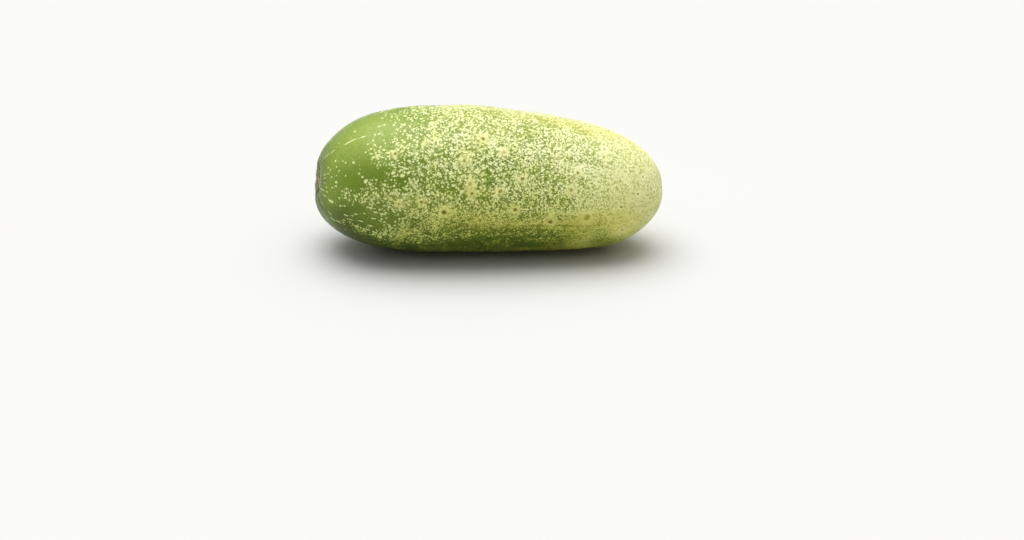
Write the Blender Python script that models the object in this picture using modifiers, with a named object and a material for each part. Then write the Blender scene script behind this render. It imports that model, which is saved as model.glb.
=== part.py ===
"""Whole pickling cucumber, picked clean and lying on its side.

One closed body. Rings of points are strung on a gently arched spine that runs
from the stem end (-X) to the blossom end (+X). They make a coarse cage, which a
Subdivision Surface modifier smooths. A shallow slice takes the flat that it
rests on, as the skin settles under its own weight.

Frame: +Z up, origin at the middle of the bounding box's base, metres.
Run it with: blender --background --python part.py
"""

import math

import bmesh
import bpy
import numpy as np
from mathutils import Matrix, Vector

MM = 0.001

# ---------------------------------------------------------------- dimensions
SEGMENTS = 24  # cage points round the body
LEVELS = 1  # subdivision of the cage
REST_DEPTH = 0.30  # how deep the resting flat is cut into the belly, mm
LOBES = 0.012  # how far the three seed chambers swell the section, share of radius
LOBE_AT = 80.0  # degrees round from the front at which one swelling lies
STEM_PITCH = 7.0  # degrees that the stem end faces upwards
STEM_YAW = 9.0  # degrees that the stem end faces the front (-Y)
STEM_REACH = 11.0  # mm along the body over which that lean fades
TIP_YAW = 4.0  # degrees that the blossom end faces the back
TIP_REACH = 14.0  # mm over which it fades

# Stations from the stem end to the blossom end, all in mm:
# distance along, radius, height of the spine, spine towards the back (+Y).
# The first rows are the stem scar: its hollow middle, its corky rim and the
# groove and basin round it. The last rows are the blossom scar.
STATIONS = [
    (2.05, 0.0, 26.0, -1.3),
    (1.85, 0.9, 26.0, -1.3),
    (1.15, 1.9, 25.9, -1.3),
    (1.60, 2.9, 25.8, -1.3),
    (1.30, 4.3, 25.6, -1.2),
    (0.75, 6.6, 25.2, -1.1),
    (1.45, 9.7, 25.1, -1.0),
    (3.80, 13.4, 25.0, -0.8),
    (7.90, 17.2, 25.0, -0.5),
    (13.80, 20.6, 25.0, -0.2),
    (21.50, 23.1, 25.0, 0.0),
    (31.00, 24.5, 25.0, 0.3),
    (42.00, 25.0, 25.0, 0.5),
    (54.00, 24.9, 24.9, 0.6),
    (66.00, 24.2, 24.3, 0.6),
    (78.00, 23.2, 23.5, 0.5),
    (89.50, 21.7, 22.6, 0.3),
    (99.50, 19.5, 21.9, 0.1),
    (107.30, 16.2, 21.7, 0.0),
    (112.50, 12.1, 21.8, -0.1),
    (115.60, 7.9, 21.7, -0.1),
    (117.00, 4.5, 21.6, -0.1),
    (117.30, 2.6, 21.6, -0.1),
    (117.00, 1.2, 21.6, -0.1),
    (116.90, 0.0, 21.6, -0.1),
]


def lean(distance):
    """How far the ring at this distance is turned: (up, towards the front), radians."""
    stem = math.exp(-((distance / STEM_REACH) ** 2))
    tip = math.exp(-(((STATIONS[-1][0] - distance) / TIP_REACH) ** 2))
    return math.radians(STEM_PITCH) * stem, math.radians(STEM_YAW * stem + TIP_YAW * tip)


def section(angle):
    """The section's radius beside its mean, at this angle round the spine."""
    return 1 + LOBES * math.cos(3 * (angle - math.radians(LOBE_AT)))


def ring(station):
    """One ring of points that the skin passes through, in mm. Angle 0 is the back, 90 degrees the top."""
    along, radius, height, back = station
    up, front = lean(along)
    turn = Matrix.Rotation(front, 3, "Z") @ Matrix.Rotation(up, 3, "Y")
    points = []
    for j in range(SEGMENTS):
        angle = 2 * math.pi * j / SEGMENTS
        r = radius * section(angle)
        offset = turn @ Vector((0.0, r * math.cos(angle), r * math.sin(angle)))
        points.append(Vector((along, back, height)) + offset)
    return np.array([tuple(p) for p in points])


def smoothed(rows):
    """Where the subdivided surface passes when the cage is at rows: the B-spline knots, round and along."""
    across = (np.roll(rows, 1, axis=1) + 4 * rows + np.roll(rows, -1, axis=1)) / 6
    opposite = SEGMENTS // 2
    first = np.roll(across[1], opposite, axis=0)[None]  # over the pole, to the far side
    last = np.roll(across[-2], opposite, axis=0)[None]
    longer = np.concatenate([first, across, last])
    return (longer[:-2] + 4 * longer[1:-1] + longer[2:]) / 6


def cage_through(rows, rounds=14):
    """The cage whose smooth surface passes through rows."""
    cage = rows.copy()
    for _ in range(rounds):
        cage += rows - smoothed(cage)
    return cage


def clear_scene():
    for obj in list(bpy.data.objects):
        bpy.data.objects.remove(obj, do_unlink=True)


def new_collection(name):
    made = bpy.data.collections.new(name)
    bpy.context.scene.collection.children.link(made)
    return made


def skin_material():
    material = bpy.data.materials.new("cucumber_skin")
    material.use_nodes = True
    shader = material.node_tree.nodes["Principled BSDF"]
    shader.inputs["Base Color"].default_value = (0.42, 0.50, 0.13, 1.0)
    shader.inputs["Roughness"].default_value = 0.42
    shader.inputs["Metallic"].default_value = 0.0
    return material


def make_body(collection):
    """A sphere's rings and poles, each moved to its station, then smoothed."""
    cage = cage_through(np.array([ring(s) for s in STATIONS])) * MM
    mesh = bpy.data.meshes.new("cucumber")
    bm = bmesh.new()
    bmesh.ops.create_uvsphere(
        bm, u_segments=SEGMENTS, v_segments=len(STATIONS) - 1, radius=1.0
    )
    # The sphere's axis is Z: its top pole goes to the stem end, and its rings follow.
    for vert in bm.verts:
        i = round(math.acos(max(-1.0, min(1.0, vert.co.z))) / math.pi * (len(STATIONS) - 1))
        if i in (0, len(STATIONS) - 1):
            vert.co = Vector(cage[i].mean(axis=0))
        else:
            j = round(math.atan2(vert.co.y, vert.co.x) / (2 * math.pi) * SEGMENTS) % SEGMENTS
            vert.co = Vector(cage[i][j])
    bmesh.ops.recalc_face_normals(bm, faces=bm.faces)
    bm.to_mesh(mesh)
    bm.free()
    mesh.shade_smooth()
    body = bpy.data.objects.new("cucumber", mesh)
    collection.objects.link(body)
    body.data.materials.append(skin_material())
    smooth = body.modifiers.new("smooth", "SUBSURF")
    smooth.levels = smooth.render_levels = LEVELS
    return body


def corners(obj):
    """Lowest and highest corner of the object as evaluated, in world space."""
    bpy.context.view_layer.update()
    graph = bpy.context.evaluated_depsgraph_get()
    evaluated = obj.evaluated_get(graph)
    mesh = evaluated.to_mesh()
    places = np.empty(len(mesh.vertices) * 3, np.float32)
    mesh.vertices.foreach_get("co", places)
    evaluated.to_mesh_clear()
    places = places.reshape(-1, 3).astype(float)
    return places.min(axis=0), places.max(axis=0)


def centre_on_base(body):
    """Puts the origin at the middle of the base, and the belly REST_DEPTH below it, ready for the slice."""
    low, high = corners(body)
    shift = Vector((-(low[0] + high[0]) / 2, -(low[1] + high[1]) / 2, -low[2] - REST_DEPTH * MM))
    body.data.transform(Matrix.Translation(shift))


def cut_rest_flat(body, collection):
    """Slices the belly level at Z = 0."""
    bpy.ops.mesh.primitive_cube_add(size=1.0)
    cutter = bpy.context.object
    cutter.name = "rest_plane_cutter"
    for owner in list(cutter.users_collection):
        owner.objects.unlink(cutter)
    collection.objects.link(cutter)
    cutter.data.transform(Matrix.Diagonal((0.2, 0.1, 0.01, 1.0)))
    cutter.location = (0.0, 0.0, -0.005)
    cutter.hide_render = True
    cutter.display_type = "WIRE"
    slice_ = body.modifiers.new("rest_flat", "BOOLEAN")
    slice_.operation = "DIFFERENCE"
    slice_.solver = "EXACT"
    slice_.object = cutter


def main():
    clear_scene()
    bpy.context.scene.unit_settings.system = "METRIC"
    body = make_body(new_collection("cucumber"))
    centre_on_base(body)
    cut_rest_flat(body, new_collection("cutters"))


main()
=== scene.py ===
"""The looks of one whole pickling cucumber, lying on a pale floor.

The rind is one fine mesh on the same stations as the CAD body. Everything that has
a shape is in the mesh: the gentle ribs, the low warts, the basin, creases and corky
pad of the stem scar, the blossom scar. The material is procedural. It reads the
point attributes that grow() writes on the mesh:

  grain     the rind unrolled: mm along it from the stem end, and round it
  share     share of the rind that is cream there
  level     the height at which the grain pattern is cut to make that share
  streaky   how far the flecks are drawn out along the fruit
  pale      how far the rind has faded to cream, 0 stem end, 1 blossom end
  yellow    sun-yellowed stripes and patches
  deep      the solid green of the stem end
  under     the deeper green low on the two sides, partly the rind's own and partly painted shade
  low       a slight yellow cast over the lower half, painted shade for its dimmer light
  finer     where the mottling is of finer grain
  stranded  how strongly the mottling falls into lengthwise strands
  sunny     a painted highlight: the lighter green of the shoulder
  shady     a darker green below it
  golden    the yellower green along the top
  dot, wart offsets from the nearest pale dot and wart, in units of its size
  stem, tip offsets from the middle of the two end scars, in mm
"""

import math

import bpy
import numpy as np
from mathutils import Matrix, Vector


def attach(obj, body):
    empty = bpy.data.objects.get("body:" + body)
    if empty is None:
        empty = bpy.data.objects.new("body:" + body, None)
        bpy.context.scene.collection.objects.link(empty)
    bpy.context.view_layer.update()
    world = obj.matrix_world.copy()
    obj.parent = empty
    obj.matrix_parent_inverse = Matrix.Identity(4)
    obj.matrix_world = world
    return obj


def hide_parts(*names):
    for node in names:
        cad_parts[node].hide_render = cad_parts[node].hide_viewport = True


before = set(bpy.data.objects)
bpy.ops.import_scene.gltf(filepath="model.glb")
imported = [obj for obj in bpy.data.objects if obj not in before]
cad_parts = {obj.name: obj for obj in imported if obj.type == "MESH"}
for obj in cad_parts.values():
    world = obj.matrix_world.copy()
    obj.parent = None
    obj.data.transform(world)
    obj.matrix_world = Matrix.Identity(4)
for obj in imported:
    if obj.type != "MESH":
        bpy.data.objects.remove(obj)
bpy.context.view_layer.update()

# ------------------------------------------------------------ the body, as in the CAD
REST_DEPTH = 0.30
LOBES, LOBE_AT = 0.012, math.radians(80.0)
STEM_PITCH, STEM_YAW, STEM_REACH = 7.0, 9.0, 11.0
TIP_YAW, TIP_REACH = 4.0, 14.0
STATIONS = [  # along, radius, height, aside, all in mm
    (2.05, 0.0, 26.0, -1.3),
    (1.85, 0.9, 26.0, -1.3),
    (1.15, 1.9, 25.9, -1.3),
    (1.60, 2.9, 25.8, -1.3),
    (1.30, 4.3, 25.6, -1.2),
    (0.75, 6.6, 25.2, -1.1),
    (1.45, 9.7, 25.1, -1.0),
    (3.80, 13.4, 25.0, -0.8),
    (7.90, 17.2, 25.0, -0.5),
    (13.80, 20.6, 25.0, -0.2),
    (21.50, 23.1, 25.0, 0.0),
    (31.00, 24.5, 25.0, 0.3),
    (42.00, 25.0, 25.0, 0.5),
    (54.00, 24.9, 24.9, 0.6),
    (66.00, 24.2, 24.3, 0.6),
    (78.00, 23.2, 23.5, 0.5),
    (89.50, 21.7, 22.6, 0.3),
    (99.50, 19.5, 21.9, 0.1),
    (107.30, 16.2, 21.7, 0.0),
    (112.50, 12.1, 21.8, -0.1),
    (115.60, 7.9, 21.7, -0.1),
    (117.00, 4.5, 21.6, -0.1),
    (117.30, 2.6, 21.6, -0.1),
    (117.00, 1.2, 21.6, -0.1),
    (116.90, 0.0, 21.6, -0.1),
]
AROUND = 288  # columns of the fine mesh
ROUND_MM = 25.0  # radius that the grain coordinates are unrolled at

# Where things sit is given as (mm from the stem end, degrees round). Round the fruit,
# 0 is the back, 90 the top, 180 the front and 270 the belly.

# Warts on the front: along, round, core radius in mm, how brown the core is
FRONT_WARTS = [
    (43.7, 183.5, 0.70, 1.0),
    (53.0, 169.0, 0.50, 0.55),
    (52.4, 161.8, 0.55, 0.20),
    (62.7, 166.5, 0.52, 0.60),
    (69.9, 156.0, 0.60, 0.85),
    (67.2, 181.0, 0.58, 0.85),
    (55.9, 190.5, 0.50, 0.40),
    (79.3, 191.5, 0.60, 0.90),
    (57.1, 125.0, 0.58, 0.80),
    (63.7, 135.5, 0.50, 0.15),
    (50.9, 144.0, 0.48, 0.45),
    (88.1, 147.0, 0.50, 0.50),
    (86.1, 162.5, 0.55, 0.30),
    (91.6, 186.5, 0.90, 0.25),
    (97.5, 119.0, 0.48, 0.15),
    (108.3, 165.0, 0.34, 1.0),
    (113.9, 165.0, 0.30, 1.0),
    (110.4, 143.0, 0.34, 0.70),
    (102.5, 178.0, 0.36, 0.80),
    (103.2, 207.0, 0.36, 0.55),
    (112.2, 203.0, 0.30, 0.60),
    (27.7, 137.0, 0.44, 0.50),
    (36.1, 175.5, 0.48, 0.50),
    (29.0, 177.5, 0.46, 0.20),
    (41.7, 195.5, 0.46, 0.50),
    (31.5, 201.5, 0.46, 0.40),
]

# Pale dots and dashes of the front of the stem end: along, round, half length, half width
FRONT_DOTS = [
    (7.5, 131, 0.40, 0.34),
    (11.0, 139, 0.36, 0.32),
    (10.2, 136, 0.30, 0.26),
    (14.1, 141.5, 0.34, 0.30),
    (5.1, 136, 0.34, 0.26),
    (5.9, 141, 0.30, 0.26),
    (7.9, 140, 0.32, 0.28),
    (8.9, 146, 0.34, 0.30),
    (6.1, 152.5, 0.38, 0.28),
    (7.9, 151.5, 0.30, 0.26),
    (11.0, 153, 0.30, 0.28),
    (7.8, 160, 0.60, 0.46),
    (7.7, 164.5, 0.40, 0.36),
    (4.6, 157.8, 0.44, 0.26),
    (6.5, 167.5, 0.34, 0.30),
    (9.8, 169.5, 0.36, 0.32),
    (11.6, 171, 0.32, 0.30),
    (11.6, 166.3, 0.40, 0.34),
    (13.2, 168, 0.32, 0.30),
    (8.9, 178, 0.40, 0.32),
    (10.8, 176.5, 0.34, 0.32),
    (9.1, 187, 0.44, 0.34),
    (10.8, 185.3, 0.36, 0.32),
    (13.8, 172.2, 0.34, 0.32),
    (12.4, 178, 0.32, 0.30),
    (14.6, 176.3, 0.34, 0.30),
    (13.3, 181.5, 0.32, 0.30),
    (14.2, 105, 0.44, 0.34),
    (22.4, 108.5, 0.46, 0.36),
    (24.2, 107.5, 0.40, 0.36),
    (20.8, 117, 0.40, 0.34),
    (22.7, 117, 0.62, 0.46),
    (26.2, 121.2, 0.34, 0.30),
    (20.2, 122.8, 0.36, 0.34),
    (18.9, 125.5, 0.34, 0.32),
    (20.8, 127.5, 0.44, 0.38),
    (19.6, 130.8, 0.40, 0.36),
    (17.9, 133, 0.36, 0.32),
    (22.9, 130.5, 0.38, 0.34),
    (28.2, 129.2, 0.36, 0.32),
    (15.8, 152, 0.36, 0.30),
    (17.1, 155.2, 0.40, 0.34),
    (18.2, 158.5, 0.66, 0.46),
    (21.3, 157.8, 0.44, 0.26),
    (26.9, 152.8, 0.60, 0.50),
    (30.1, 154.8, 0.85, 0.62),
    (12.3, 115.8, 2.9, 0.24),
    (17.1, 116.4, 1.1, 0.22),
    (6.5, 112.7, 1.3, 0.22),
    (5.8, 187, 1.2, 0.50),
    (3.7, 146.2, 0.70, 0.22),
    (3.7, 152.5, 0.70, 0.20),
    (4.7, 158.0, 0.60, 0.26),
    (3.6, 162.0, 0.60, 0.20),
    (4.4, 168.8, 0.42, 0.22),
    (4.5, 175.5, 0.42, 0.22),
    (5.1, 146.5, 0.50, 0.18),
    (2.6, 176.0, 1.60, 0.20),
    (3.9, 184.0, 0.90, 0.20),
    (1.9, 196.5, 1.00, 0.18),
    (3.7, 198.8, 0.90, 0.22),
    (2.5, 205.0, 0.80, 0.18),
    (4.3, 111.0, 1.40, 0.20),
    (2.9, 95.0, 1.60, 0.18),
    (8.4, 212.0, 1.40, 0.24),
    (9.9, 210.6, 0.80, 0.22),
    (11.2, 196.0, 0.90, 0.26),
    (12.4, 199.0, 0.90, 0.22),
    (14.2, 205.0, 1.30, 0.22),
    (16.4, 197.0, 1.00, 0.24),
    (14.7, 190.5, 0.60, 0.24),
    (5.1, 208.0, 1.00, 0.20),
    (6.3, 214.8, 1.30, 0.22),
    (3.9, 199.5, 0.80, 0.22),
    (18.6, 181.5, 0.50, 0.26),
    (17.6, 205.2, 1.30, 0.24),
    (19.3, 199.8, 1.00, 0.24),
    (21.0, 185.5, 0.70, 0.28),
    (23.6, 186.5, 0.80, 0.28),
    (13.2, 193.5, 0.50, 0.22),
    (17.5, 188.0, 0.60, 0.22),
    (20.4, 191.5, 0.90, 0.24),
    (10.4, 204.0, 0.70, 0.20),
    (22.2, 137.5, 0.90, 0.55),
    (23.4, 139.4, 0.50, 0.36),
    (24.1, 133.0, 0.58, 0.40),
    (25.3, 136.0, 0.66, 0.40),
    (27.0, 135.0, 0.80, 0.42),
    (28.0, 139.8, 0.52, 0.46),
    (30.4, 135.0, 0.55, 0.42),
    (26.0, 139.0, 0.40, 0.30),
    (39.5, 110.5, 0.80, 0.66),
    (41.5, 108.3, 0.50, 0.40),
    (27.2, 109.0, 0.42, 0.34),
    (28.2, 114.5, 0.62, 0.34),
    (29.6, 112.0, 0.38, 0.34),
    (30.6, 116.7, 0.46, 0.38),
    (30.8, 98.5, 0.50, 0.36),
    (31.9, 101.8, 0.42, 0.34),
    (23.7, 118.5, 0.30, 0.26),
    (26.7, 121.5, 0.34, 0.30),
    (27.4, 126.0, 0.42, 0.30),
    (21.9, 176.5, 0.42, 0.36),
    (18.6, 168.0, 0.34, 0.28),
]

# Where the mottling starts, in mm from the stem end, by degrees round. The tongues
# of green and of cream that reach past each other make its edge ragged.
EDGE = [
    (0, 30),
    (18, 37),
    (35, 26),
    (52, 33),
    (68, 40),
    (82, 32),
    (94, 28),
    (103, 29),
    (112, 30),
    (120, 31),
    (128, 26),
    (138, 20),
    (148, 21),
    (158, 25),
    (166, 22),
    (173, 17),
    (180, 23),
    (187, 28),
    (194, 25),
    (201, 17),
    (208, 14),
    (220, 22),
    (236, 30),
    (252, 26),
    (270, 22),
    (288, 28),
    (306, 24),
    (324, 34),
    (342, 27),
    (360, 30),
]

# Soft patches: along, round, half length mm, half width mm, how much they change the
# share of cream there
PATCHES = [
    (20, 114, 8, 5.0, -0.22),
    (34, 106, 6, 3.0, -0.03),
    (17, 148, 8, 5.5, -0.14),
    (27, 163, 5, 2.2, -0.12),
    (33, 157, 4, 2.0, -0.07),
    (45, 161, 10, 2.6, -0.08),
    (60, 174, 18, 3.6, -0.08),
    (80, 160, 9, 5.0, -0.12),
    (76, 147, 5, 2.6, -0.10),
    (87, 153, 4, 2.2, -0.10),
    (66, 120, 10, 4.0, -0.03),
    (50, 98, 18, 4.0, -0.06),
    (68, 110, 26, 12.0, -0.10),
    (60, 84, 30, 2.4, 0.08),
    (92, 118, 14, 8.0, -0.06),
    (20, 172, 4, 2.2, 0.12),
    (26, 134, 5, 2.6, -0.04),
    (39, 134, 7, 5.0, -0.09),
    (30, 180, 5, 3.0, 0.05),
    (64, 206, 34, 5.0, -0.16),
    (70, 218, 34, 5.0, -0.14),
    (66, 230, 34, 5.0, -0.10),
    (23, 208, 8, 2.6, 0.26),
    (38, 219, 12, 3.0, -0.10),
    (58, 30, 14, 6.0, -0.14),
    (44, 55, 10, 4.0, 0.12),
    (80, 62, 12, 4.0, -0.10),
    (38, 330, 10, 5.0, -0.20),
    (70, 345, 14, 4.0, 0.12),
    (66, 310, 14, 5.0, -0.12),
    (30, 10, 7, 4.0, -0.18),
]

# Yellow stripes and patches: along, round, half length, half width, strength
YELLOWS = [
    (86, 93, 26, 3.2, 0.56),
    (90, 104, 12, 3.0, 0.12),
    (84, 98, 5, 2.2, 0.22),
    (93, 101, 5, 2.4, 0.30),
    (78, 194, 26, 3.4, 0.50),
    (92, 187, 3.4, 2.2, 0.75),
    (52, 163, 4, 3.0, 0.30),
    (36, 176, 10, 3.2, 0.25),
    (28, 137, 4, 2.6, 0.25),
    (40, 110, 3, 2.0, 0.20),
    (57, 125, 2.6, 2.4, 0.20),
    (58, 190, 14, 4.0, 0.30),
    (84, 52, 24, 3.0, 0.40),
    (80, 14, 26, 3.2, 0.32),
    (82, 332, 24, 3.0, 0.34),
    (74, 300, 22, 4.0, 0.40),
    (88, 236, 22, 3.4, 0.35),
    (45, 20, 6, 3.0, 0.25),
    (40, 345, 5, 3.0, 0.25),
]


def splined(rows, flip):
    """Cubic B-spline control rows that pass through rows. Past a pole the spine carries on and an offset turns round (flip)."""
    rows = np.array(rows, float)

    def longer(r):
        return np.concatenate([flip * r[1:2], r, flip * r[-2:-1]])

    cage = rows.copy()
    for _ in range(60):
        e = longer(cage)
        cage = cage + rows - (e[:-2] + 4 * e[1:-1] + e[2:]) / 6
    return longer(cage)


def spline_at(control, u):
    k = np.clip(np.floor(u).astype(int), 0, len(control) - 4)
    t = (u - k)[:, None]
    weights = (
        (1 - t) ** 3 / 6,
        (3 * t**3 - 6 * t**2 + 4) / 6,
        (-3 * t**3 + 3 * t**2 + 3 * t + 1) / 6,
        t**3 / 6,
    )
    return sum(w * control[k + i] for i, w in enumerate(weights))


def turned():
    """Per station: the spine's point and the ring's two half axes, in mm."""
    spine, back, top = [], [], []
    for along, radius, height, aside in STATIONS:
        stem = math.exp(-((along / STEM_REACH) ** 2))
        tip = math.exp(-(((STATIONS[-1][0] - along) / TIP_REACH) ** 2))
        p = math.radians(STEM_PITCH) * stem
        q = math.radians(STEM_YAW * stem + TIP_YAW * tip)
        rz = np.array([[math.cos(q), -math.sin(q), 0], [math.sin(q), math.cos(q), 0], [0, 0, 1]])
        ry = np.array([[math.cos(p), 0, math.sin(p)], [0, 1, 0], [-math.sin(p), 0, math.cos(p)]])
        turn = rz @ ry
        spine.append((along, aside, height))
        back.append(radius * turn[:, 1])
        top.append(radius * turn[:, 2])
    return splined(spine, 1), splined(back, -1), splined(top, -1)


CONTROLS = turned()


def smooth_body(u, theta):
    """Points of the smooth body in mm, rows by u (station number) and columns by theta."""
    a, b, c = (spline_at(rows, np.asarray(u, float)) for rows in CONTROLS)
    s = 1 + LOBES * np.cos(3 * (theta - LOBE_AT))
    return (
        a[:, None]
        + b[:, None] * (s * np.cos(theta))[None, :, None]
        + c[:, None] * (s * np.sin(theta))[None, :, None]
    )


def normals_of(points):
    """Outward unit normals of a closed-round grid of points."""
    down = np.gradient(points, axis=0)
    wide = np.concatenate([points[:, -1:], points, points[:, :1]], axis=1)
    over = (wide[:, 2:] - wide[:, :-2]) / 2
    n = np.cross(over, down)
    n /= np.linalg.norm(n, axis=2, keepdims=True) + 1e-12
    middle = points.mean(axis=1, keepdims=True)
    half = len(points) // 2
    if (n[half] * (points[half] - middle[half])).sum() < 0:
        n = -n
    return n


def row_places():
    """Station numbers of the fine mesh's rows: close together at the two scars, even between."""
    u = np.linspace(0, len(STATIONS) - 1, 6000)
    line = smooth_body(u, np.array([math.radians(180.0)]))[:, 0]
    arc = np.concatenate([[0], np.cumsum(np.linalg.norm(np.diff(line, axis=0), axis=1))])
    length = arc[-1]
    wanted, at = [], 0.12
    while at < length - 0.12:
        wanted.append(at)
        near = min(at, length - at)
        at += 0.17 + 0.45 * min(1.0, max(0.0, (near - 4.5) / 9.0))
    return np.interp(wanted, arc, u), np.array(wanted), length


def bump_field(places, seed, size, count=40):
    """Gentle random swells in mm space, built from plane waves of about that size. Mean 0, spread 1."""
    rng = np.random.default_rng(seed)
    total = np.zeros(places.shape[:-1])
    for _ in range(count):
        direction = rng.normal(size=3)
        direction /= np.linalg.norm(direction)
        wave = size * rng.uniform(0.75, 1.5)
        total += np.cos(places @ direction * (2 * math.pi / wave) + rng.uniform(0, 2 * math.pi))
    return total / math.sqrt(count / 2)


def smoothstep(x, low, high):
    t = np.clip((x - low) / (high - low), 0, 1)
    return t * t * (3 - 2 * t)


def angle_between(a, b):
    return (a - b + 180.0) % 360.0 - 180.0


def scattered(rng, count, along, rounds, spacing, kept=(), keep_away=None):
    """Random (along, round) places no closer than spacing mm, also to those kept."""
    made = [tuple(k[:2]) for k in kept]
    new = []
    tries = 0
    while len(new) < count and tries < count * 60:
        tries += 1
        a, t = rng.uniform(*along), rng.uniform(*rounds) % 360.0
        if keep_away is not None and keep_away(a, t):
            continue
        radius = max(4.0, float(np.interp(a, [s[0] for s in STATIONS[5:22]], [s[1] for s in STATIONS[5:22]])))
        if all(
            math.hypot(a - b, math.radians(angle_between(t, c)) * radius) > spacing
            for b, c in made
        ):
            made.append((a, t))
            new.append((a, t))
    return new


def seen_front(a, t):
    """True on the side that shows in the main view, where warts and dots are placed one by one."""
    return 82.0 < t < 216.0


class Rind:
    """The fine mesh's grid and what is known at each of its points."""

    def __init__(self):
        self.u, self.arc, self.length = row_places()
        self.theta = 2 * math.pi * np.arange(AROUND) / AROUND
        self.base = smooth_body(self.u, self.theta)
        fine = smooth_body(np.linspace(0, len(STATIONS) - 1, 900), np.linspace(0, 2 * math.pi, 1440))
        low, high = fine.min(axis=(0, 1)), fine.max(axis=(0, 1))
        self.shift = np.array([-(low[0] + high[0]) / 2, -(low[1] + high[1]) / 2, -low[2] - REST_DEPTH])
        self.normal = normals_of(self.base)
        self.along = self.base[:, :, 0]
        self.round = np.broadcast_to(np.degrees(self.theta)[None], self.along.shape)
        self.poles = smooth_body([0.0, len(STATIONS) - 1.0], self.theta[:1])[:, 0]

    def place(self, along, round_deg):
        """(point, normal, axis along, axis round) of the smooth body nearest to that place."""
        j = int(round(round_deg / 360.0 * AROUND)) % AROUND
        column = self.along[:, j]
        # The end basins fold back along X, so only rows outside them are looked at.
        first, last = np.argmin(column[: len(column) // 2]), len(column) // 2 + np.argmax(column[len(column) // 2 :])
        i = first + int(np.argmin(np.abs(column[first:last] - along)))
        a = math.radians(round_deg)
        point = smooth_body([self.u[i]], np.array([a]))[0, 0]
        n = self.normal[i, j]
        down = self.base[min(i + 1, len(self.u) - 1), j] - self.base[max(i - 1, 0), j]
        down /= np.linalg.norm(down)
        return point, n, down, np.cross(n, down)


def nearest_marks(rind, marks):
    """Offsets of every point from its nearest mark, in units of the mark's half length and half width, the mark's strength, and a mask that is 0 where two marks' cells meet."""
    flat = rind.base.reshape(-1, 3)
    best = np.full(len(flat), 1e9)
    second = np.full(len(flat), 1e9)
    offset = np.full((len(flat), 3), 9.0)
    for along, round_deg, half_long, half_wide, strength in marks:
        point, n, down, over = rind.place(along, round_deg)
        v = flat - point
        x, y = v @ down, v @ over
        # A long dash is near along its whole length.
        reach = max(0.0, half_long - half_wide)
        d = np.sqrt(np.maximum(np.abs(x) - reach, 0) ** 2 + y**2 + (v @ n) ** 2)
        closer = d < best
        second = np.where(closer, best, np.minimum(second, d))
        best = np.where(closer, d, best)
        scaled = np.stack([x / half_long, y / half_wide, np.full(len(flat), strength)], axis=1)
        offset[closer] = scaled[closer]
    mask = smoothstep(second - best, 0.35, 0.8) * (best < 6.0)
    offset[:, :2] = np.clip(offset[:, :2], -12, 12)
    return offset, mask


def soft_sum(rind, patches):
    """Sum of soft oval patches over the rind."""
    total = np.zeros(rind.along.shape)
    for along, round_deg, half_long, half_wide, amount in patches:
        dx = (rind.along - along) / half_long
        dy = np.radians(angle_between(rind.round, round_deg)) * 24.0 / half_wide
        total += amount * np.exp(-(dx**2 + dy**2) / 1.2)
    return total


# Which share of the rind is cream when the grain pattern is cut at that height, mm
CUTS = [
    (0.00, 0.420),
    (0.01, 0.282),
    (0.03, 0.227),
    (0.06, 0.182),
    (0.10, 0.142),
    (0.15, 0.106),
    (0.20, 0.076),
    (0.30, 0.027),
    (0.40, -0.016),
    (0.50, -0.055),
    (0.60, -0.095),
    (0.70, -0.136),
    (0.80, -0.185),
    (0.90, -0.249),
    (0.95, -0.302),
    (1.00, -0.400),
]


def share_to_level(share):
    cuts = np.array(CUTS)
    return np.interp(share, cuts[:, 0], cuts[:, 1])


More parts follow.
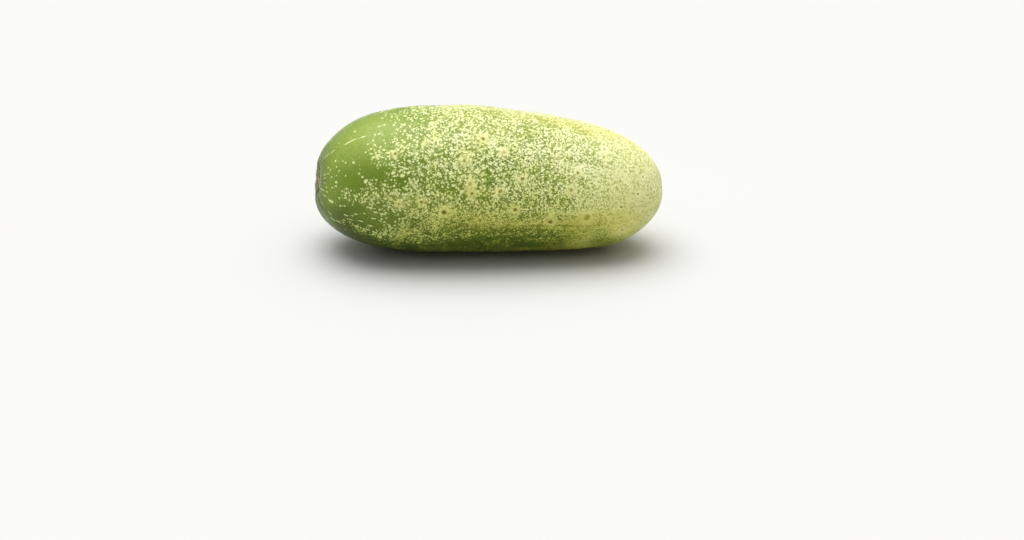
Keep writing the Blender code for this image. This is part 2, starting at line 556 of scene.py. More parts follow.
def grow():
    """The fine mesh, its UVs and its attributes."""
    rind = Rind()
    rng = np.random.default_rng(11)
    rows, cols = rind.along.shape
    p = rind.base

    # ---- marks
    hidden = scattered(rng, 30, (24, 108), (0, 360), 9.0, FRONT_WARTS, seen_front)
    warts = list(FRONT_WARTS) + [
        (a, t, rng.uniform(0.42, 0.62) * (0.7 if a > 98 else 1.0), rng.uniform(0.3, 1.0)) for a, t in hidden
    ]
    dots = [(a, t, l, w, 1.0) for a, t, l, w in FRONT_DOTS]
    for a, t in scattered(rng, 150, (3.5, 34), (0, 360), 1.9, FRONT_DOTS, seen_front):
        w = rng.uniform(0.24, 0.40)
        stretch = rng.choice([1.0, 1.15, 1.5, 3.0], p=[0.5, 0.3, 0.15, 0.05])
        dots.append((a, t, w * stretch, w if stretch < 2 else 0.24, 1.0))

    # ---- shape
    grain = np.stack(
        [
            np.broadcast_to(rind.arc[:, None], (rows, cols)),
            np.broadcast_to(ROUND_MM * np.cos(rind.theta)[None], (rows, cols)),
            np.broadcast_to(ROUND_MM * np.sin(rind.theta)[None], (rows, cols)),
        ],
        axis=2,
    )
    from_stem = np.broadcast_to(rind.arc[:, None], (rows, cols))
    from_tip = rind.length - from_stem
    off_scar = smoothstep(from_stem, 3.0, 9.0) * smoothstep(from_tip, 2.5, 8.0)
    push = 0.10 * bump_field(p, 3, 26.0) * off_scar
    push += 0.035 * bump_field(p, 5, 9.0) * off_scar
    # Low ribs over the vascular strands, strongest at the two ends.
    ribs = np.cos(10 * rind.theta[None] + 0.6 * np.sin(3 * rind.theta)[None] + 0.02 * rind.along)
    push += 0.07 * ribs * off_scar * (0.5 + 0.9 * np.exp(-from_stem / 16) + 0.7 * np.exp(-from_tip / 18))
    # Fine creases run into the stem basin.
    crease = bump_field(grain * np.array([0.22, 1.0, 1.0]), 8, 5.0)
    near_stem = np.exp(-(((from_stem - 6.0) / 5.5) ** 2))
    push -= 0.16 * np.clip(crease - 0.4, 0, 2) * near_stem
    crease_fine = bump_field(grain * np.array([0.18, 1.0, 1.0]), 9, 2.6)
    push += 0.05 * crease_fine * np.exp(-(((from_stem - 5.0) / 3.2) ** 2))
    near_tip = np.exp(-(((from_tip - 4.5) / 3.5) ** 2))
    push += 0.05 * bump_field(grain * np.array([0.22, 1.0, 1.0]), 12, 4.0) * near_tip
    # The corky pad of the stem scar is torn, with a raised lip.
    pad = smoothstep(from_stem, 3.1, 2.3)
    lip = np.exp(-(((from_stem - 2.95 - 0.16 * np.cos(2 * rind.theta + 1)[None] - 0.10 * np.cos(5 * rind.theta)[None]) / 0.36) ** 2))
    groove = np.exp(-(((from_stem - 3.95) / 0.42) ** 2))
    push += 0.13 * bump_field(p, 21, 1.5) * pad + 0.08 * bump_field(p, 22, 0.9) * pad
    push += 0.20 * lip * (0.8 + 0.35 * np.cos(rind.theta * 3 + 2)[None]) - 0.16 * groove
    push += 0.06 * bump_field(p, 23, 1.0) * smoothstep(from_tip, 2.8, 1.8)
    push -= 0.12 * np.exp(-(((from_tip - 2.7) / 0.5) ** 2))
    shape = p + rind.normal * push[:, :, None]
    flat = shape.reshape(-1, 3)
    base_flat = p.reshape(-1, 3)
    lift = np.zeros(len(flat))
    for a, t, core, brown in warts:
        point = rind.place(a, t)[0]
        d = np.linalg.norm(base_flat - point, axis=1)
        height = 0.24 * core / 0.55
        lift += height * np.exp(-((d / (2.9 * core)) ** 2)) - 0.55 * height * np.exp(-((d / (0.95 * core)) ** 2))
    flat = flat + rind.normal.reshape(-1, 3) * lift[:, None]
    flat = flat + rind.shift
    # It settles on the floor: the belly presses flat, with a soft edge.
    soft = 0.12
    z = flat[:, 2]
    flat[:, 2] = np.where(z > soft, z, np.where(z < -soft, 0.0, (z + soft) ** 2 / (4 * soft)))
    poles = rind.poles + rind.shift
    poles[0, 0] += 0.35  # the middle of the stem scar is a little pit

    # ---- colour fields
    along, rounds = rind.along, rind.round
    edges = np.array(EDGE, float)
    edge = np.interp(rounds, edges[:, 0], edges[:, 1])
    swirl = bump_field(p, 31, 15.0)
    swirl_small = bump_field(p, 32, 6.0)
    wobble = 2.2 * swirl + 1.6 * swirl_small
    rise = smoothstep(along + wobble, edge - 8.0, edge + 19.0)
    share = 0.012 + 0.43 * rise
    share += 0.09 * smoothstep(along + wobble, edge - 14.0, edge - 3.0)
    share += 0.22 * smoothstep(along + 1.5 * swirl, 66.0, 110.0)
    share += soft_sum(rind, PATCHES) * (0.35 + 0.65 * rise + 0.2)
    share += (0.035 * swirl + 0.03 * swirl_small) * (0.15 + rise)
    for a, t, core, brown in warts:
        point = rind.place(a, t)[0]
        d = np.linalg.norm(p - point, axis=2)
        share += (0.26 if a > 45 else 0.18) * np.exp(-((d / (3.2 * core)) ** 2)) * (a > 20)
    share = np.clip(share, 0.0, 0.93)

    pale = smoothstep(along + 2.5 * swirl, 66.0, 112.0)
    # the crest is paler along its whole length
    pale = np.maximum(pale, 0.50 * rise * np.exp(-((angle_between(rounds, 83.0) / 9.0) ** 2)))
    yellow = soft_sum(rind, YELLOWS) + 0.10 * np.clip(swirl, -1, 2) * rise
    for a, t, core, brown in warts:
        if a > 20:
            d = np.linalg.norm(p - rind.place(a, t)[0], axis=2)
            yellow += 0.26 * np.exp(-((d / (2.6 * core)) ** 2))
    yellow = np.clip(yellow, 0, 1)
    deep = 1 - smoothstep(along + 3.0 * swirl, 8.0, 58.0)
    streaky = np.clip(1.15 - smoothstep(from_stem + 1.5 * swirl, 12.0, 34.0), 0, 1)
    streaky = np.maximum(streaky, 0.9 * np.exp(-((angle_between(rounds, 210.0) / 12.0) ** 2)) * (1 - smoothstep(along, 44.0, 64.0)))
    # how far down either side: 90 the top, 180 the front or the back, 270 the belly
    down = np.where(rounds > 270, 540 - rounds, np.where(rounds < 90, 180 - rounds, rounds))
    # painted shade: the lower sides get fewer flecks and a darker colour, partly the rind's own deeper green and partly
    # shade
    under = smoothstep(down - 180.0 + 4.0 * swirl, -12.0, 44.0) * (1 - smoothstep(down, 246.0, 276.0))
    under *= 1 - 0.80 * smoothstep(along + 4.0 * swirl, 86.0, 112.0)
    under *= 0.55 + 0.45 * smoothstep(along, 2.0, 12.0)
    share = np.clip(share - 0.14 * under * (1 - 0.6 * pale), 0.0, 0.93)
    # The thinnest mottling is all round dots, which the material draws by the share.
    level = share_to_level(share - 0.05 * (1 - smoothstep(share, 0.05, 0.22)) + 0.045 * smoothstep(share, 0.2, 0.4) * (1 - smoothstep(along, 60.0, 84.0)))
    # painted shade: the lower half is given a yellow cast that stands in for its dimmer, less bluish light
    low = smoothstep(down - 180.0, -45.0, 20.0)
    low *= (0.25 + 0.75 * smoothstep(along, 18.0, 52.0)) * (1 - 0.6 * smoothstep(along, 96.0, 114.0))
    finer = np.maximum(smoothstep(along, 46.0, 84.0), 0.75 * smoothstep(down - 180.0, -24.0, 14.0) * smoothstep(along, 20.0, 44.0))
    stranded = smoothstep(along + 4.0 * swirl, 40.0, 66.0) * (0.25 + 0.75 * np.exp(-((angle_between(rounds, 196.0) / 24.0) ** 2)))
    # painted highlight: the shoulder, where the light falls strongest, is made a lighter green
    shoulder_highlight = np.exp(-(((along - 20.0) / 17.0) ** 2) - (angle_between(rounds, 115.0) / 26.0) ** 2) + 0.22 * np.exp(-(((along - 14.0) / 12.0) ** 2) - (angle_between(rounds, 150.0) / 30.0) ** 2)
    shady = np.exp(-(((along - 25.0) / 13.0) ** 2) - (angle_between(rounds, 158.0) / 17.0) ** 2)
    golden = np.exp(-((angle_between(rounds, 103.0) / 27.0) ** 2)) * smoothstep(along, 32.0, 54.0)
    belly = np.exp(-((angle_between(rounds, 278.0) / 30.0) ** 2)) * smoothstep(along, 18, 46) * (1 - smoothstep(along, 96, 112))

    dot, dot_on = nearest_marks(rind, dots)
    wart, wart_on = nearest_marks(rind, [(a, t, c, c, b) for a, t, c, b in warts])

    def scar_plane(i):
        pole = rind.poles[i]
        row = rind.base[0 if i == 0 else -1]
        axis = np.cross(row[0] - pole, row[AROUND // 4] - pole)
        axis /= np.linalg.norm(axis)
        v = base_flat - pole
        y = np.cross(axis, [0.0, 0.0, 1.0])
        y /= np.linalg.norm(y)
        z_axis = np.cross(axis, y)
        flat_offset = np.stack([v @ y, v @ z_axis, np.zeros(len(v))], axis=1)
        flat_offset[np.abs(v @ axis) > 30.0] = (50.0, 50.0, 0.0)
        return flat_offset

    stem, tip = scar_plane(0), scar_plane(1)

    # ---- the mesh
    points = np.concatenate([flat, poles]) * 0.001
    first, last = rows * cols, rows * cols + 1
    i, j = np.meshgrid(np.arange(rows - 1), np.arange(cols), indexing="ij")
    k = (j + 1) % cols
    quads = np.stack([i * cols + j, (i + 1) * cols + j, (i + 1) * cols + k, i * cols + k], axis=-1).reshape(-1, 4)
    j = np.arange(cols)
    k = (j + 1) % cols
    caps = np.concatenate(
        [
            np.stack([np.full(cols, first), j, k], axis=1),
            np.stack([np.full(cols, last), (rows - 1) * cols + k, (rows - 1) * cols + j], axis=1),
        ]
    )
    a, b, c = (points[quads[:, n]] for n in (0, 1, 2))
    outward = (np.cross(b - a, c - a) * rind.normal[:-1].reshape(-1, 3)).sum()
    if outward < 0:
        quads, caps = quads[:, ::-1], caps[:, ::-1]
    mesh = bpy.data.meshes.new("cucumber_rind")
    mesh.from_pydata(points.tolist(), [], quads.tolist() + caps.tolist())
    mesh.validate()
    mesh.shade_smooth()

    # The unwrap: round along U with its seam under the belly, along the rind on V.
    seam = int(AROUND * 262 / 360)
    ends = np.empty(len(mesh.loops), np.int32)
    mesh.loops.foreach_get("vertex_index", ends)
    starts = np.empty(len(mesh.polygons), np.int32)
    totals = np.empty(len(mesh.polygons), np.int32)
    mesh.polygons.foreach_get("loop_start", starts)
    mesh.polygons.foreach_get("loop_total", totals)
    face_of = np.repeat(np.arange(len(starts)), totals)
    column = np.where(ends < first, (ends % cols - seam) % cols, -1).astype(float)
    biggest = np.zeros(len(starts))
    np.maximum.at(biggest, face_of, column)
    wraps = (biggest[face_of] == cols - 1) & (column == 0)
    column[wraps] = cols
    known = np.where(column >= 0, column, 0)
    mean = np.zeros(len(starts))
    np.add.at(mean, face_of, known)
    mean /= np.maximum(totals - (np.bincount(face_of, column < 0)), 1)
    column = np.where(column < 0, mean[face_of], column)
    v = np.concatenate([np.repeat(rind.arc, cols), [0.0, rind.length]])[ends] / rind.length
    uv = mesh.uv_layers.new(name="OFBake")
    uv.data.foreach_set("uv", np.stack([0.004 + 0.992 * column / cols, 0.004 + 0.992 * v], axis=1).astype(np.float32).ravel())

    def put(name, values, kind="FLOAT"):
        values = np.asarray(values, float)
        values = values.reshape(rows * cols, -1)
        ends_ = np.stack([values[:cols].mean(axis=0), values[-cols:].mean(axis=0)])
        if name in ("stem", "tip"):
            ends_[0 if name == "stem" else 1] = 0.0
        values = np.concatenate([values, ends_]).astype(np.float32)
        attribute = mesh.attributes.new(name, kind, "POINT")
        attribute.data.foreach_set("vector" if kind == "FLOAT_VECTOR" else "value", values.ravel())

    put("grain", grain, "FLOAT_VECTOR")
    put("share", share)
    put("level", level)
    put("streaky", streaky)
    put("pale", pale)
    put("yellow", yellow)
    put("deep", deep)
    put("belly", belly)
    put("under", under)
    put("low", low)
    put("stranded", stranded)
    put("finer", finer)
    put("shoulder_highlight", shoulder_highlight)
    put("shady", shady)
    put("golden", golden)
    put("dot", dot, "FLOAT_VECTOR")
    put("dot_on", dot_on)
    put("wart", wart, "FLOAT_VECTOR")
    put("wart_on", wart_on)
    put("stem", stem, "FLOAT_VECTOR")
    put("tip", tip, "FLOAT_VECTOR")
    return mesh


# ------------------------------------------------------------ the material
def srgb(r, g, b):
    """A colour given as 0-255 display values, as the linear colour that nodes take."""
    def one(c):
        c /= 255.0
        return c / 12.92 if c <= 0.04045 else ((c + 0.055) / 1.055) ** 2.4

    return (one(r), one(g), one(b), 1.0)


class Web:
    """Short ways to add nodes to one node tree."""

    def __init__(self, tree):
        self.tree = tree
        self.nodes = tree.nodes
        self.made = 0

    def _new(self, kind):
        node = self.nodes.new(kind)
        node.location = (-2400 + 190 * (self.made % 12), 900 - 230 * (self.made // 12))
        self.made += 1
        return node

    def _set(self, socket, value):
        if isinstance(value, bpy.types.NodeSocket):
            self.tree.links.new(value, socket)
        elif value is not None:
            socket.default_value = value

    def math(self, operation, a, b=None, c=None, clamp=False):
        node = self._new("ShaderNodeMath")
        node.operation = operation
        node.use_clamp = clamp
        for socket, value in zip(node.inputs, (a, b, c)):
            self._set(socket, value)
        return node.outputs[0]

    def add(self, a, b, clamp=False):
        return self.math("ADD", a, b, clamp=clamp)

    def less(self, a, b):
        return self.math("SUBTRACT", a, b)

    def mul(self, a, b, clamp=False):
        return self.math("MULTIPLY", a, b, clamp=clamp)

    def vector(self, operation, a, b=None, scale=None):
        node = self._new("ShaderNodeVectorMath")
        node.operation = operation
        self._set(node.inputs[0], a)
        self._set(node.inputs[1], b)
        if scale is not None:
            self._set(node.inputs["Scale"], scale)
        return node.outputs["Value" if operation == "LENGTH" else "Vector"]

    def dot(self, a, b):
        node = self._new("ShaderNodeVectorMath")
        node.operation = "DOT_PRODUCT"
        self._set(node.inputs[0], a)
        self._set(node.inputs[1], b)
        return node.outputs["Value"]

    def turn(self, place, angles):
        node = self._new("ShaderNodeVectorRotate")
        node.rotation_type = "EULER_XYZ"
        self._set(node.inputs["Vector"], place)
        node.inputs["Rotation"].default_value = angles
        return node.outputs["Vector"]

    def grains(self, place, angles, shift, scale, half, spread):
        """Height of a field of short rods like rice grains, one to a cell, each lying its own way and of its own size. In mm: 0 is at the axis of the smallest."""
        place = self.vector("ADD", self.turn(place, angles), shift)
        cell = self.cells(place, scale)
        v = self.vector("SUBTRACT", place, cell.outputs["Position"])
        axis = self.vector("NORMALIZE", self.vector("SUBTRACT", cell.outputs["Color"], (0.5, 0.5, 0.5)))
        t = self.math("MAXIMUM", self.math("MINIMUM", self.dot(v, axis), half), -half)
        away = self.vector("LENGTH", self.vector("SUBTRACT", v, self.vector("SCALE", axis, scale=t)))
        own = self.math("FRACT", self.dot(cell.outputs["Color"], (12.7, 7.9, 5.3)))
        return self.less(self.mul(own, spread), away)

    def attribute(self, name, vector=False):
        node = self._new("ShaderNodeAttribute")
        node.attribute_type = "GEOMETRY"
        node.attribute_name = name
        return node.outputs["Vector" if vector else "Fac"]

    def noise(self, place, scale, detail=0.0, roughness=0.5, distortion=0.0, colour=False):
        node = self._new("ShaderNodeTexNoise")
        node.noise_dimensions = "3D"
        self._set(node.inputs["Vector"], place)
        node.inputs["Scale"].default_value = scale
        node.inputs["Detail"].default_value = detail
        node.inputs["Roughness"].default_value = roughness
        node.inputs["Distortion"].default_value = distortion
        return node.outputs["Color" if colour else "Fac"]

    def cells(self, place, scale, feature="F1", randomness=1.0):
        node = self._new("ShaderNodeTexVoronoi")
        node.voronoi_dimensions = "3D"
        node.feature = feature
        self._set(node.inputs["Vector"], place)
        node.inputs["Scale"].default_value = scale
        node.inputs["Randomness"].default_value = randomness
        return node

    def step(self, value, low, high, to_low=0.0, to_high=1.0, smooth=True):
        node = self._new("ShaderNodeMapRange")
        node.interpolation_type = "SMOOTHSTEP" if smooth else "LINEAR"
        self._set(node.inputs["Value"], value)
        self._set(node.inputs["From Min"], low)
        self._set(node.inputs["From Max"], high)
        self._set(node.inputs["To Min"], to_low)
        self._set(node.inputs["To Max"], to_high)
        return node.outputs["Result"]

    def mix(self, share, a, b, blend="MIX"):
        node = self._new("ShaderNodeMix")
        node.data_type = "RGBA"
        node.blend_type = blend
        node.clamp_factor = True
        self._set(node.inputs["Factor"], share)
        self._set(node.inputs[6], a)
        self._set(node.inputs[7], b)
        return node.outputs[2]

    def split(self, vector):
        node = self._new("ShaderNodeSeparateXYZ")
        self._set(node.inputs[0], vector)
        return node.outputs

    def bump(self, height, strength, distance, normal=None):
        node = self._new("ShaderNodeBump")
        node.inputs["Strength"].default_value = strength
        node.inputs["Distance"].default_value = distance
        self._set(node.inputs["Height"], height)
        if normal is not None:
            self._set(node.inputs["Normal"], normal)
        return node.outputs["Normal"]


def rind_material():
    material = bpy.data.materials.new("cucumber_rind")
    material.use_nodes = True
    tree = material.node_tree
    shader = tree.nodes["Principled BSDF"]
    w = Web(tree)

    coords = w._new("ShaderNodeTexCoord")
    mm = w.vector("SCALE", coords.outputs["Object"], scale=1000.0)
    grain = w.attribute("grain", vector=True)
    drawn = w.vector("MULTIPLY", grain, (0.42, 1.0, 1.0))
    level = w.attribute("level")
    streaky = w.attribute("streaky")
    pale = w.attribute("pale")
    yellow = w.attribute("yellow")
    deep = w.attribute("deep")
    belly = w.attribute("belly")

    # ---- flecks
    share = w.attribute("share")
    warp = w.vector("SUBTRACT", w.noise(mm, 1.3, 1.0, colour=True), (0.5, 0.5, 0.5))
    bent = w.vector("ADD", mm, w.vector("SCALE", warp, scale=0.60))

    def heap(place, shift):
        """Three kinds of grain thrown together."""
        x, y, z = shift
        made = w.grains(place, (0.3, 0.5, 0.2), (17.3 + x, 5.1 + y, 3.4 + z), 0.86, 0.30, 0.45)
        made = w.math("MAXIMUM", made, w.grains(place, (1.1, 0.2, 0.9), (31.7 + x, 11.3 + y, 5.9 + z), 0.92, 0.38, 0.40))
        return w.math("MAXIMUM", made, w.grains(place, (0.6, 1.4, 0.4), (7.7 + x, 51.3 + y, 25.9 + z), 1.05, 0.30, 0.35))

    # the grains are finer low down and over the blossom half
    to_fine = w.step(w.add(w.attribute("finer"), w.mul(w.less(w.noise(mm, 0.45, 2.0, 0.6), 0.5), 1.6)), 0.42, 0.58)
    height = w.add(
        w.mul(heap(bent, (0.0, 0.0, 0.0)), w.less(1.0, to_fine)),
        w.mul(heap(w.vector("SCALE", bent, scale=1.5), (3.9, 8.8, 1.2)), to_fine),
    )
    dashes = w.noise(drawn, 1.15, 0.6, 0.5, 0.25)
    patch_noise = w.noise(mm, 0.21, 2.0, 0.5)
    above = w.less(w.add(height, w.mul(w.less(patch_noise, 0.5), w.add(0.22, w.mul(to_fine, 0.10)))), level)
    above = w.add(above, w.mul(w.mul(w.less(dashes, 0.5), streaky), 0.55))
    strands = w.noise(w.vector("MULTIPLY", grain, (0.07, 1.0, 1.0)), 0.55, 1.0, 0.5)
    above = w.add(above, w.mul(w.mul(w.less(strands, 0.5), w.attribute("stranded")), 0.62))
    edge_soft = w.step(pale, 0.0, 1.0, 0.050, 0.075, smooth=False)
    crisp = w.step(above, w.mul(edge_soft, -1.0), edge_soft)
    loud = w.step(w.noise(mm, 0.95, 1.0, 0.6), 0.34, 0.62, 0.80, 1.0)
    crisp = w.mul(crisp, loud)
    # thin green seams part the coarse flecks where they crowd
    seam = w.step(w.cells(w.turn(bent, (0.4, 1.1, 0.8)), 0.92, "DISTANCE_TO_EDGE").outputs["Distance"], 0.085, 0.02)
    crisp = w.mul(crisp, w.less(1.0, w.mul(w.mul(seam, 0.68), w.mul(w.less(1.0, to_fine), w.step(share, 0.16, 0.42)))))
    # a faint, finer second growth of flecks fills the ground between
    small = w.grains(bent, (0.8, 0.1, 1.3), (3.1, 27.7, 61.9), 1.55, 0.24, 0.30)
    faint = w.mul(w.step(w.less(small, w.step(share, 0.15, 0.7, 0.10, -0.06, smooth=False)), -0.06, 0.08), w.step(share, 0.12, 0.40, 0.0, 0.27))
    haze = w.mul(w.step(above, -0.36, 0.10), w.step(share, 0.10, 0.40, 0.04, 0.09))
    fleck = w.math("MAXIMUM", w.math("MAXIMUM", crisp, faint), haze)
    # small round dots that stand alone, ahead of the mottling
    cell = w.cells(w.turn(bent, (0.7, 0.3, 1.2)), 0.80)
    chosen = w.split(cell.outputs["Color"])
    dot_size = w.step(chosen[1], 0.0, 1.0, 0.16, 0.36, smooth=False)
    lone = w.mul(
        w.step(w.less(cell.outputs["Distance"], dot_size), 0.05, -0.06),
        w.step(w.less(chosen[0], w.step(share, 0.012, 0.16, 0.02, 0.90, smooth=False)), 0.03, -0.03),
    )
    fleck = w.math("MAXIMUM", fleck, w.mul(w.mul(lone, 0.92), w.step(share, 0.014, 0.05)))
    # the dots and dashes that are placed one by one
    dot_offset = w.vector("ADD", w.vector("MULTIPLY", w.attribute("dot", vector=True), (1.0, 1.0, 0.0)), w.vector("MULTIPLY", w.vector("SUBTRACT", w.noise(mm, 1.6, 1.0, colour=True), (0.5, 0.5, 0.5)), (0.9, 0.9, 0.0)))
    placed = w.mul(w.step(w.vector("LENGTH", dot_offset), 1.25, 0.75), w.attribute("dot_on"))
    fleck = w.math("MAXIMUM", fleck, w.mul(placed, 0.92))

    # ---- colours
    broad = w.noise(mm, 0.055, 2.0, 0.5)
    middle = w.noise(mm, 0.28, 3.0, 0.6)
    fine = w.noise(mm, 1.3, 2.0, 0.65)
    green_mid = w.mix(w.step(middle, 0.3, 0.7), srgb(92, 119, 13), srgb(116, 141, 23))
    green_stem = w.mix(w.step(broad, 0.35, 0.65), srgb(111, 137, 40), srgb(126, 152, 51))
    green = w.mix(deep, green_mid, green_stem)
    # painted highlight: the lit shoulder is mixed towards a lighter green
    green = w.mix(w.mul(w.attribute("shoulder_highlight"), 0.78), green, srgb(158, 178, 86))
    green = w.mix(w.mul(w.attribute("shady"), 0.42), green, srgb(88, 116, 24))
    green = w.mix(pale, green, srgb(145, 164, 58))
    green = w.mix(w.mul(w.attribute("golden"), 0.58), green, srgb(148, 161, 34))
    green = w.mix(w.mul(w.step(fine, 0.35, 0.65), 0.28), green, srgb(80, 104, 22))
    cream = w.mix(w.step(middle, 0.35, 0.7), srgb(246, 249, 192), srgb(237, 242, 168))
    cream = w.mix(w.mul(pale, 0.75), cream, srgb(243, 242, 198))
    cream = w.mix(w.mul(deep, 0.5), cream, srgb(212, 226, 146))
    colour = w.mix(fleck, green, cream)
    # towards the blossom end the two colours close up
    mean_pale = w.mix(w.step(middle, 0.3, 0.7), srgb(233, 232, 152), srgb(223, 223, 132))
    colour = w.mix(w.mul(w.step(pale, 0.35, 1.0), 0.34), colour, mean_pale)
    sunned = w.mix(w.mul(yellow, 0.62), colour, w.mix(1.0, colour, srgb(250, 238, 160), "MULTIPLY"))
    colour = w.mix(w.mul(yellow, 0.30), sunned, srgb(214, 208, 118))
    ground = w.mix(w.step(w.noise(mm, 0.35, 3.0, 0.6), 0.3, 0.7), srgb(214, 212, 140), srgb(196, 198, 118))
    colour = w.mix(w.mul(belly, 0.62), colour, ground)

    # ---- warts: a tan or brown corky core in a yellow halo
    wart = w.attribute("wart", vector=True)
    wart_on = w.attribute("wart_on")
    brown = w.split(wart)[2]
    jitter = w.vector("MULTIPLY", w.vector("SUBTRACT", w.noise(mm, 1.9, 2.0, colour=True), (0.5, 0.5, 0.5)), (1.9, 1.9, 0.0))
    core_r = w.vector("LENGTH", w.vector("ADD", w.vector("MULTIPLY", wart, (1.0, 1.0, 0.0)), jitter))
    core = w.mul(w.step(core_r, 1.55, 0.6), wart_on)
    # cream arms reach out of it like a star
    facing = w.vector("ADD", w.vector("SCALE", w.vector("NORMALIZE", w.vector("MULTIPLY", wart, (1.0, 1.0, 0.0))), scale=1.5), w.vector("SCALE", w.vector("MULTIPLY", wart, (0.0, 0.0, 1.0)), scale=43.0))
    arms = w.step(w.noise(facing, 1.3, 0.0, 0.5), 0.40, 0.60)
    reach = w.step(core_r, 5.4, 1.8)
    star = w.mul(w.mul(w.mul(arms, reach), w.step(core_r, 0.9, 1.6)), wart_on)
    collar = w.mul(w.mul(w.step(core_r, 3.0, 1.7), w.step(core_r, 0.8, 1.5)), wart_on)
    colour = w.mix(w.mul(w.math("MAXIMUM", w.mul(star, 0.62), w.mul(collar, w.step(pale, 0.2, 1.0, 0.48, 0.72))), w.step(share, 0.10, 0.35, 0.35, 1.0)), colour, w.mix(pale, srgb(236, 236, 166), srgb(244, 244, 196)))
    core_colour = w.mix(brown, srgb(174, 166, 54), srgb(120, 100, 12))
    colour = w.mix(w.mul(core, w.step(brown, 0.0, 0.6, 0.55, 0.90)), colour, core_colour)

    # ---- painted shade over the lower half: a yellower cast, then a deeper green that is partly the rind's own
    # painted shade: the lower half's colour loses blue, as if less lit
    colour = w.mix(w.attribute("low"), colour, w.mix(1.0, colour, srgb(250, 250, 196), "MULTIPLY"))
    # painted shade: the colour of the lower sides is multiplied darker, partly the rind's own deeper green
    under = w.attribute("under")
    cast = w.mix(pale, srgb(171, 176, 109), srgb(174, 183, 109))
    fleck_cast = w.mix(w.step(under, 0.80, 1.0), srgb(245, 252, 206), srgb(174, 180, 120))
    cast = w.mix(deep, cast, w.mix(fleck, srgb(146, 151, 70), fleck_cast))
    colour = w.mix(w.mul(under, 0.95), colour, w.mix(1.0, colour, cast, "MULTIPLY"))

    # ---- the stem scar
    stem = w.attribute("stem", vector=True)
    stem_xy = w.vector("MULTIPLY", stem, (1.15, 0.88, 0.0))
    stem_bent = w.vector("ADD", stem_xy, w.vector("MULTIPLY", w.vector("SUBTRACT", w.noise(mm, 0.9, 2.0, colour=True), (0.5, 0.5, 0.5)), (1.6, 1.6, 0.0)))
    r = w.vector("LENGTH", stem_bent)
    cork_noise = w.noise(mm, 2.0, 3.0, 0.7)
    cork = w.mix(w.step(cork_noise, 0.36, 0.62), srgb(50, 35, 19), srgb(186, 164, 122))
    cork = w.mix(w.mul(w.step(r, 1.9, 2.3), w.step(cork_noise, 0.36, 0.54)), cork, srgb(200, 192, 146))
    pit = w.vector("LENGTH", w.vector("ADD", stem_bent, (0.5, -0.4, 0.0)))
    cork = w.mix(w.step(pit, 1.05, 0.45), cork, srgb(34, 24, 12))
    # painted shade: the rind darkens towards the rim of the stem end
    rim_shade = w.mul(w.step(r, 15.5, 4.0), 0.60)
    colour = w.mix(rim_shade, colour, srgb(78, 94, 32))
    shade_rays = w.noise(w.vector("MULTIPLY", grain, (0.09, 1.0, 1.0)), 0.50, 1.0, 0.5)
    shade_ray = w.mul(w.step(shade_rays, 0.52, 0.62), w.mul(w.step(r, 13.0, 6.5), w.step(r, 2.6, 4.0)))
    colour = w.mix(w.mul(shade_ray, 0.56), colour, srgb(58, 70, 24))
    rays = w.noise(w.vector("MULTIPLY", grain, (0.16, 1.0, 1.0)), 0.58, 2.0, 0.6)
    fan = w.step(w.add(r, w.mul(w.less(w.noise(mm, 0.5, 1.0), 0.5), 9.0)), 12.0, 5.0)
    ray = w.mul(w.step(rays, 0.53, 0.68), w.mul(fan, w.step(r, 2.7, 3.6)))
    colour = w.mix(w.mul(ray, 0.62), colour, srgb(176, 186, 120))
    colour = w.mix(w.mul(w.step(r, 4.5, 3.6), w.step(r, 2.8, 3.4)), colour, srgb(54, 54, 24))
    stain = w.mul(w.mul(w.step(r, 6.4, 3.8), w.step(r, 2.6, 3.4)), w.step(w.noise(mm, 0.8, 2.0, 0.6), 0.40, 0.62))
    colour = w.mix(w.mul(stain, 0.50), colour, srgb(134, 112, 66))
    on_scar = w.step(r, 3.45, 3.05)
    colour = w.mix(on_scar, colour, cork)

    # ---- the blossom scar
    tip = w.attribute("tip", vector=True)
    tip_bent = w.vector("ADD", w.vector("MULTIPLY", tip, (1.0, 1.0, 0.0)), w.vector("MULTIPLY", w.vector("SUBTRACT", w.noise(mm, 0.8, 2.0, colour=True), (0.5, 0.5, 0.5)), (2.0, 2.0, 0.0)))
    q = w.vector("LENGTH", tip_bent)
    tip_rays = w.noise(w.vector("MULTIPLY", grain, (0.10, 1.0, 1.0)), 0.5, 1.0, 0.5)
    tip_ray = w.mul(w.step(tip_rays, 0.53, 0.64), w.mul(w.step(q, 10.0, 3.0), w.step(q, 1.6, 2.6)))
    colour = w.mix(w.mul(tip_ray, 0.30), colour, srgb(222, 214, 160))
    colour = w.mix(w.mul(w.step(q, 3.2, 1.9), 0.65), colour, srgb(176, 158, 98))
    tip_cork = w.mix(w.step(cork_noise, 0.38, 0.6), srgb(100, 82, 42), srgb(178, 162, 104))
    on_tip = w.step(q, 1.75, 1.35)
    colour = w.mix(on_tip, colour, tip_cork)
    colour = w.mix(w.step(q, 0.55, 0.2), colour, srgb(52, 42, 22))

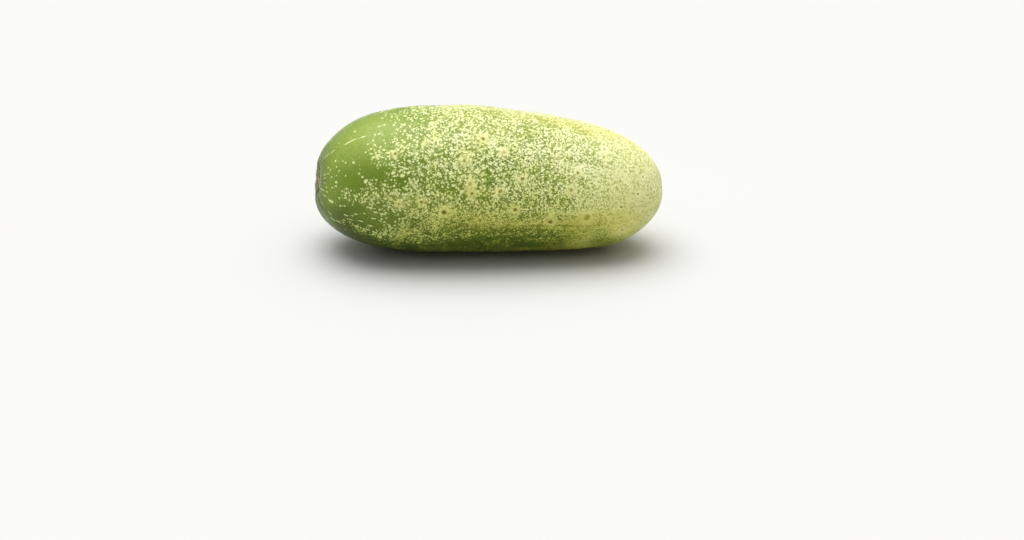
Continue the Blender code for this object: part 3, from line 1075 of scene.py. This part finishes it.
    # ---- gloss and relief
    corky = w.math("MAXIMUM", w.math("MAXIMUM", on_scar, on_tip), w.mul(core, 0.7))
    rough = w.add(0.34, w.mul(fleck, 0.07))
    rough = w.add(rough, w.mul(w.math("SUBTRACT", w.noise(mm, 0.4, 3.0, 0.6), 0.5), 0.16))
    rough = w.add(rough, w.mul(corky, 0.42), clamp=True)
    relief = w.add(w.mul(fleck, 0.35), w.mul(w.noise(mm, 1.1, 2.0, 0.5), 0.9))
    normal = w.bump(relief, 0.20, 0.0002)
    skin = w.noise(mm, 3.4, 2.0, 0.6)
    normal = w.bump(skin, 0.10, 0.00008, normal)
    rough_cork = w.mul(w.noise(mm, 2.2, 3.0, 0.7), corky)
    normal = w.bump(rough_cork, 0.55, 0.0004, normal)

    tree.links.new(colour, shader.inputs["Base Color"])
    tree.links.new(rough, shader.inputs["Roughness"])
    tree.links.new(normal, shader.inputs["Normal"])
    shader.inputs["Metallic"].default_value = 0.0
    shader.inputs["IOR"].default_value = 1.42
    shader.inputs["Specular IOR Level"].default_value = 0.26
    return material


rind = bpy.data.objects.new("cucumber_rind", grow())
bpy.context.scene.collection.objects.link(rind)
rind.data.materials.append(rind_material())
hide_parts("cucumber")
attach(rind, "root")


# ------------------------------------------------------------ floor, light and camera
def floor():
    mesh = bpy.data.meshes.new("floor")
    half, z = 30.0, -0.00004
    mesh.from_pydata([(-half, -half, z), (half, -half, z), (half, half, z), (-half, half, z)], [], [(0, 1, 2, 3)])
    made = bpy.data.objects.new("floor", mesh)
    bpy.context.scene.collection.objects.link(made)
    material = bpy.data.materials.new("floor")
    material.use_nodes = True
    shader = material.node_tree.nodes["Principled BSDF"]
    shader.inputs["Base Color"].default_value = (0.60, 0.60, 0.596, 1.0)
    shader.inputs["Roughness"].default_value = 0.9
    shader.inputs["Specular IOR Level"].default_value = 0.1
    mesh.materials.append(material)


def area_light(name, place, aim, size, watts, colour=(1.0, 1.0, 1.0)):
    data = bpy.data.lights.new(name, "AREA")
    data.shape = "RECTANGLE"
    data.size, data.size_y = size
    data.energy = watts
    data.color = colour
    made = bpy.data.objects.new(name, data)
    made.location = place
    made.rotation_euler = (Vector(aim) - Vector(place)).to_track_quat("-Z", "Y").to_euler()
    bpy.context.scene.collection.objects.link(made)


def studio_world():
    """A soft ceiling light, a little behind the object, over a dimmer room with a pale skyline."""
    world = bpy.data.worlds.new("studio")
    bpy.context.scene.world = world
    world.use_nodes = True
    w = Web(world.node_tree)
    direction = w._new("ShaderNodeTexCoord").outputs["Generated"]
    tilted = w._new("ShaderNodeVectorMath")
    tilted.operation = "DOT_PRODUCT"
    w.tree.links.new(direction, tilted.inputs[0])
    tilted.inputs[1].default_value = Vector((-0.08, 0.19, 0.98)).normalized()
    high = tilted.outputs["Value"]
    light = w.add(w.step(high, 0.15, 0.75, 0.16, 0.80), w.step(high, 0.80, 0.95, 0.0, 4.2))
    skyline = w.step(w.math("ABSOLUTE", w.split(direction)[2]), 0.085, 0.062)
    light = w.math("MAXIMUM", light, w.mul(skyline, 0.955))
    w.tree.links.new(light, world.node_tree.nodes["Background"].inputs["Strength"])
    world.node_tree.nodes["Background"].inputs["Color"].default_value = (1.0, 0.995, 0.985, 1.0)


floor()
studio_world()
bpy.context.scene.view_settings.view_transform = "Standard"
bpy.context.scene.view_settings.look = "None"

camera_data = bpy.data.cameras.new("camera")
camera_data.lens, camera_data.sensor_width = 85.0, 36.0
camera_data.clip_start, camera_data.clip_end = 0.05, 60.0
camera = bpy.data.objects.new("camera", camera_data)
camera.location = (0.0, -0.76215, 0.33280)
camera.rotation_euler = (math.radians(90 - 24.180), 0.0, math.radians(-0.613))
bpy.context.scene.collection.objects.link(camera)
bpy.context.scene.camera = camera
